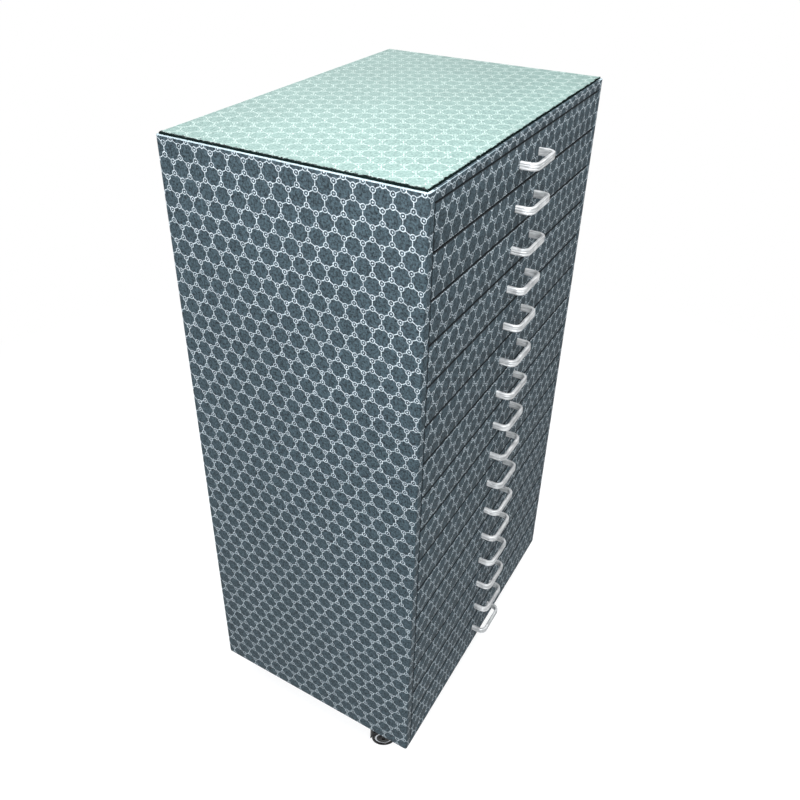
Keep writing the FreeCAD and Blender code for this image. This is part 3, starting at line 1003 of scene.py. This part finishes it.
# CAD pieces kept as they are, with the material each one gets
carried = {
    "runner_screws": zinc, "caster_screws": zinc, "panel_dowels": beech,
    "runner_channels_left": zinc, "runner_channels_right": zinc,
}
for body in casterNames:
    carried[body.replace("caster_", "caster_plate_")] = zinc
for node, material in carried.items():
    mesh = frame["nodes"][node].data
    mesh.materials.clear()
    mesh.materials.append(material)
print("carried pieces finished:", len(carried))


floorForm = {
    "colour": "949698",
    "lift": 0.78,             # light of its own, so that only the shadow shows on white
    "fadeFrom": 0.7,          # metres from the middle at which it starts to turn plain white
    "fadeTo": 1.6,
    "mirrored": 0.35,         # the share of the white floor that glossy pieces reflect
    "radius": 30.0,
    "sides": 96,
}
skyForm = {"light": 0.48, "seen": 1.0}   # what lights the cabinet, and what the camera sees


def makeFloor():
    # Near the cabinet the floor takes its shadow; further off it is plain white.
    form = floorForm
    material, tree, shader = newMaterial("paleFloor", Roughness=0.9, Specular_IOR_Level=0.0)
    shader.inputs["Base Color"].default_value = paint(form["colour"])
    output = [n for n in tree.nodes if n.type == "OUTPUT_MATERIAL"][0]
    lift = tree.nodes.new("ShaderNodeEmission")
    lift.inputs["Strength"].default_value = form["lift"]
    white = tree.nodes.new("ShaderNodeEmission")
    add = tree.nodes.new("ShaderNodeAddShader")
    fade = tree.nodes.new("ShaderNodeMixShader")
    gate = tree.nodes.new("ShaderNodeMixShader")
    rays = tree.nodes.new("ShaderNodeLightPath")
    point, _ = objectPoint(tree)
    away = vectors(tree, "LENGTH", point)
    tree.links.new(spread(tree, away, form["fadeFrom"], form["fadeTo"]), fade.inputs["Fac"])
    tree.links.new(shader.outputs["BSDF"], add.inputs[0])
    tree.links.new(lift.outputs["Emission"], add.inputs[1])
    tree.links.new(add.outputs["Shader"], fade.inputs[1])
    tree.links.new(white.outputs["Emission"], fade.inputs[2])
    mirrored = maths(tree, "MULTIPLY", rays.outputs["Is Glossy Ray"], form["mirrored"])
    tree.links.new(maths(tree, "MAXIMUM", rays.outputs["Is Camera Ray"], mirrored), gate.inputs["Fac"])
    tree.links.new(shader.outputs["BSDF"], gate.inputs[1])
    tree.links.new(fade.outputs["Shader"], gate.inputs[2])
    tree.links.new(gate.outputs["Shader"], output.inputs["Surface"])
    bm = bmesh.new()
    bmesh.ops.create_circle(bm, cap_ends=True, segments=form["sides"], radius=form["radius"])
    mesh = bpy.data.meshes.new("floor")
    bm.to_mesh(mesh)
    bm.free()
    mesh.materials.append(material)
    floor = bpy.data.objects.new("floor", mesh)
    bpy.context.scene.collection.objects.link(floor)


def makeSky():
    world = bpy.data.worlds.new("studio")
    bpy.context.scene.world = world
    world.use_nodes = True
    tree = world.node_tree
    background = tree.nodes["Background"]
    rays = tree.nodes.new("ShaderNodeLightPath")
    background.inputs["Color"].default_value = (1, 1, 1, 1)
    strength = choose(tree, rays.outputs["Is Camera Ray"], skyForm["light"], skyForm["seen"])
    tree.links.new(strength, background.inputs["Strength"])


def makeLamp(name, place, aim, size, watts):
    lamp = bpy.data.lights.new(name, "AREA")
    lamp.shape = "RECTANGLE"
    lamp.size, lamp.size_y = size
    lamp.energy = watts
    holder = bpy.data.objects.new(name, lamp)
    bpy.context.scene.collection.objects.link(holder)
    holder.location = place
    holder.rotation_mode = "QUATERNION"
    holder.rotation_quaternion = (Vector(aim) - Vector(place)).to_track_quat("-Z", "Y")


# each lamp's place, what it aims at, its width and height in metres, and its watts
lamps = {
    "keyLamp": ((-2.7, -0.65, 1.75), (0, 0, 0.35), (2.4, 2.4), 96.0),
    "frontLamp": ((0.2, -1.7, 2.0), (0, -0.1, 0.8), (1.8, 1.4), 9.0),
    "overLamp": ((-0.5, -0.36, 2.15), (-0.2, -0.1, 1.0), (0.7, 0.7), 23.5),
    "glintLamp": ((2.1, -1.1, 2.6), (0, -0.2, 0.7), (1.2, 1.4), 18.0),
    "sheenLamp": ((2.5, 1.9, 2.7), (-0.3, 0, 1.0), (1.6, 0.7), 8.0),
    "rearLamp": ((1.2, 4.2, 2.6), (0, 0, 0.7), (3.0, 2.0), 18.0),
}


cameraView = {
    "azimuth": math.radians(58.96),   # turned from the drawers' side towards the left side
    "elevation": math.radians(32.66),
    "roll": math.radians(0.27),
    "distance": 1.367,
    "slide": (-0.036, 0.060),         # metres to the right and up from facing the body's middle
    "focalPixels": 803.0,
    "framePixels": 800.0,
    "centrePixels": (376.0, 358.0),   # where the lens axis meets the picture
    "sensor": 36.0,
}


def makeCamera():
    form = cameraView
    low = Vector((-halfWidth, frontY, sideLow.z))
    high = Vector((halfWidth, rearY, cadBox[1].z))
    flat = math.cos(form["elevation"])
    forward = Vector((math.sin(form["azimuth"]) * flat, math.cos(form["azimuth"]) * flat,
                      -math.sin(form["elevation"])))
    right = forward.cross(alongZ).normalized()
    up = right.cross(forward)
    turn = Matrix.Rotation(-form["roll"], 3, forward)
    right, up = turn @ right, turn @ up
    place = (low + high) / 2 - forward * form["distance"]
    place = place + right * form["slide"][0] + up * form["slide"][1]
    camera = bpy.data.cameras.new("camera")
    camera.sensor_width = form["sensor"]
    camera.lens = form["focalPixels"] / form["framePixels"] * form["sensor"]
    camera.shift_x = (form["framePixels"] / 2 - form["centrePixels"][0]) / form["framePixels"]
    camera.shift_y = (form["centrePixels"][1] - form["framePixels"] / 2) / form["framePixels"]
    camera.clip_end = 100.0
    holder = bpy.data.objects.new("camera", camera)
    bpy.context.scene.collection.objects.link(holder)
    holder.matrix_world = Matrix.Translation(place) @ Matrix((right, up, -forward)).transposed().to_4x4()
    bpy.context.scene.camera = holder


makeFloor()
makeSky()
for name, (place, aim, size, watts) in lamps.items():
    makeLamp(name, place, aim, size, watts)
makeCamera()
bpy.context.scene.view_settings.view_transform = "Standard"
print("stage, lamps and camera made")
